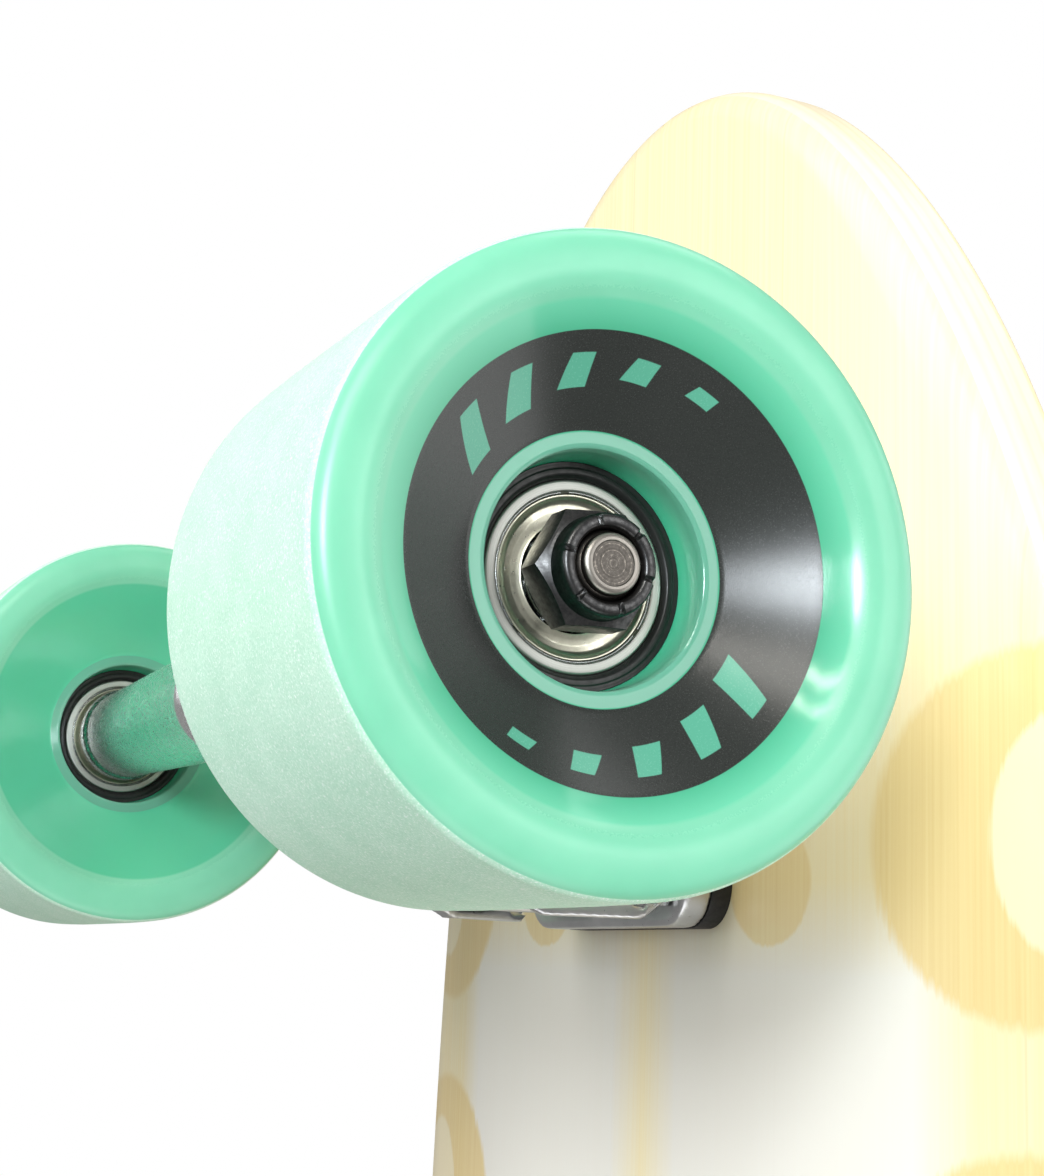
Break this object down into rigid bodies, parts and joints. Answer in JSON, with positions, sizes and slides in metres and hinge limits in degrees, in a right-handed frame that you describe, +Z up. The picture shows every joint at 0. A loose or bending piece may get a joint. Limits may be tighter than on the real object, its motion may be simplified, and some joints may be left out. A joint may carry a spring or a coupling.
{
  "type": "longboard skateboard",
  "caption": "Longboard skateboard with a bamboo-faced deck, silver reverse-kingpin trucks and mint urethane wheels on ball bearings.",
  "frame": {"origin": "middle of the bounding box at the ground, where the wheels stand", "axes": "+X towards the nose, +Y to the rider's left, +Z up through the deck"},
  "size_m": [1.085, 0.2486, 0.1465],
  "materials": {
    "bamboo": "clear satin lacquer over straight bamboo grain",
    "maple": "lacquered ply edge",
    "grip": "coarse matte grit",
    "riser_rubber": "matte",
    "cast_aluminium": "tumbled casting",
    "polished_aluminium": "polished casting",
    "black_plastic": "moulded satin",
    "steel": "zinc plated",
    "axle_steel": "turned end, rolled thread",
    "black_steel": "black oxide",
    "zinc_steel": "yellow zinc",
    "bearing_steel": "ground and polished",
    "bushing_urethane": "satin cast urethane",
    "wheel_urethane": "glossy cast urethane face, frosted tread, dark printed ring"
  },
  "bodies": {
    "root": {"deck_bottom_ply": "bamboo", "deck_core": "maple", "deck_top_ply": "bamboo", "grip_tape": "grip", "front_riser": "riser_rubber", "front_baseplate": "cast_aluminium", "front_pivot_cup": "black_plastic", "front_kingpin": "steel", "front_kingpin_nut": "steel", "front_bushing_washers": "zinc_steel", "front_boardside_bushing": "bushing_urethane", "front_roadside_bushing": "bushing_urethane", "front_deck_bolts": "black_steel", "front_deck_nuts": "steel", "rear_riser": "riser_rubber", "rear_baseplate": "cast_aluminium", "rear_pivot_cup": "black_plastic", "rear_kingpin": "steel", "rear_kingpin_nut": "steel", "rear_bushing_washers": "zinc_steel", "rear_boardside_bushing": "bushing_urethane", "rear_roadside_bushing": "bushing_urethane", "rear_deck_bolts": "black_steel", "rear_deck_nuts": "steel"},
    "front_hanger": {"front_hanger": "polished_aluminium", "front_axle": "axle_steel", "front_axle_nuts": "black_steel", "front_speed_washers": "steel", "front_bearing_inner_rings": "bearing_steel", "front_bearing_spacers": "steel"},
    "rear_hanger": {"rear_hanger": "polished_aluminium", "rear_axle": "axle_steel", "rear_axle_nuts": "black_steel", "rear_speed_washers": "steel", "rear_bearing_inner_rings": "bearing_steel", "rear_bearing_spacers": "steel"},
    "front_left_wheel": {"front_left_tyre": "wheel_urethane", "front_left_core": "black_plastic", "front_left_bearing_outer_rings": "bearing_steel", "front_left_bearing_shields": "zinc_steel"},
    "front_left_balls": {"front_left_ball_cages": "bearing_steel"},
    "front_right_wheel": {"front_right_tyre": "wheel_urethane", "front_right_core": "black_plastic", "front_right_bearing_outer_rings": "bearing_steel", "front_right_bearing_shields": "zinc_steel"},
    "front_right_balls": {"front_right_ball_cages": "bearing_steel"},
    "rear_left_wheel": {"rear_left_tyre": "wheel_urethane", "rear_left_core": "black_plastic", "rear_left_bearing_outer_rings": "bearing_steel", "rear_left_bearing_shields": "zinc_steel"},
    "rear_left_balls": {"rear_left_ball_cages": "bearing_steel"},
    "rear_right_wheel": {"rear_right_tyre": "wheel_urethane", "rear_right_core": "black_plastic", "rear_right_bearing_outer_rings": "bearing_steel", "rear_right_bearing_shields": "zinc_steel"},
    "rear_right_balls": {"rear_right_ball_cages": "bearing_steel"}
  },
  "joints": [
    {"name": "front_steer", "type": "hinge", "parent": "root", "child": "front_hanger", "pos_m": [0.43899, 0, 0.06146], "axis": [0.7071, 0, 0.7071], "range_deg": [-12, 12], "stiffness_Nm_per_rad": 90, "deforming": ["front_boardside_bushing", "front_roadside_bushing"]},
    {"name": "rear_steer", "type": "hinge", "parent": "root", "child": "rear_hanger", "pos_m": [-0.37799, 0, 0.06146], "axis": [-0.7071, 0, 0.7071], "range_deg": [-12, 12], "stiffness_Nm_per_rad": 90, "deforming": ["rear_boardside_bushing", "rear_roadside_bushing"]},
    {"name": "front_left_spin", "type": "hinge", "parent": "front_hanger", "child": "front_left_wheel", "pos_m": [0.4305, 0, 0.036], "axis": [0, 1, 0], "continuous": true},
    {"name": "front_left_ball_orbit", "type": "hinge", "parent": "front_hanger", "child": "front_left_balls", "pos_m": [0.4305, 0, 0.036], "axis": [0, 1, 0], "continuous": true},
    {"name": "front_right_spin", "type": "hinge", "parent": "front_hanger", "child": "front_right_wheel", "pos_m": [0.4305, 0, 0.036], "axis": [0, 1, 0], "continuous": true},
    {"name": "front_right_ball_orbit", "type": "hinge", "parent": "front_hanger", "child": "front_right_balls", "pos_m": [0.4305, 0, 0.036], "axis": [0, 1, 0], "continuous": true},
    {"name": "rear_left_spin", "type": "hinge", "parent": "rear_hanger", "child": "rear_left_wheel", "pos_m": [-0.3695, 0, 0.036], "axis": [0, 1, 0], "continuous": true},
    {"name": "rear_left_ball_orbit", "type": "hinge", "parent": "rear_hanger", "child": "rear_left_balls", "pos_m": [-0.3695, 0, 0.036], "axis": [0, 1, 0], "continuous": true},
    {"name": "rear_right_spin", "type": "hinge", "parent": "rear_hanger", "child": "rear_right_wheel", "pos_m": [-0.3695, 0, 0.036], "axis": [0, 1, 0], "continuous": true},
    {"name": "rear_right_ball_orbit", "type": "hinge", "parent": "rear_hanger", "child": "rear_right_balls", "pos_m": [-0.3695, 0, 0.036], "axis": [0, 1, 0], "continuous": true}
  ],
  "couplings": [
    {"joint": "front_left_ball_orbit", "follows": "front_left_spin", "ratio": 0.6323},
    {"joint": "front_right_ball_orbit", "follows": "front_right_spin", "ratio": 0.6323},
    {"joint": "rear_left_ball_orbit", "follows": "rear_left_spin", "ratio": 0.6323},
    {"joint": "rear_right_ball_orbit", "follows": "rear_right_spin", "ratio": 0.6323}
  ]
}
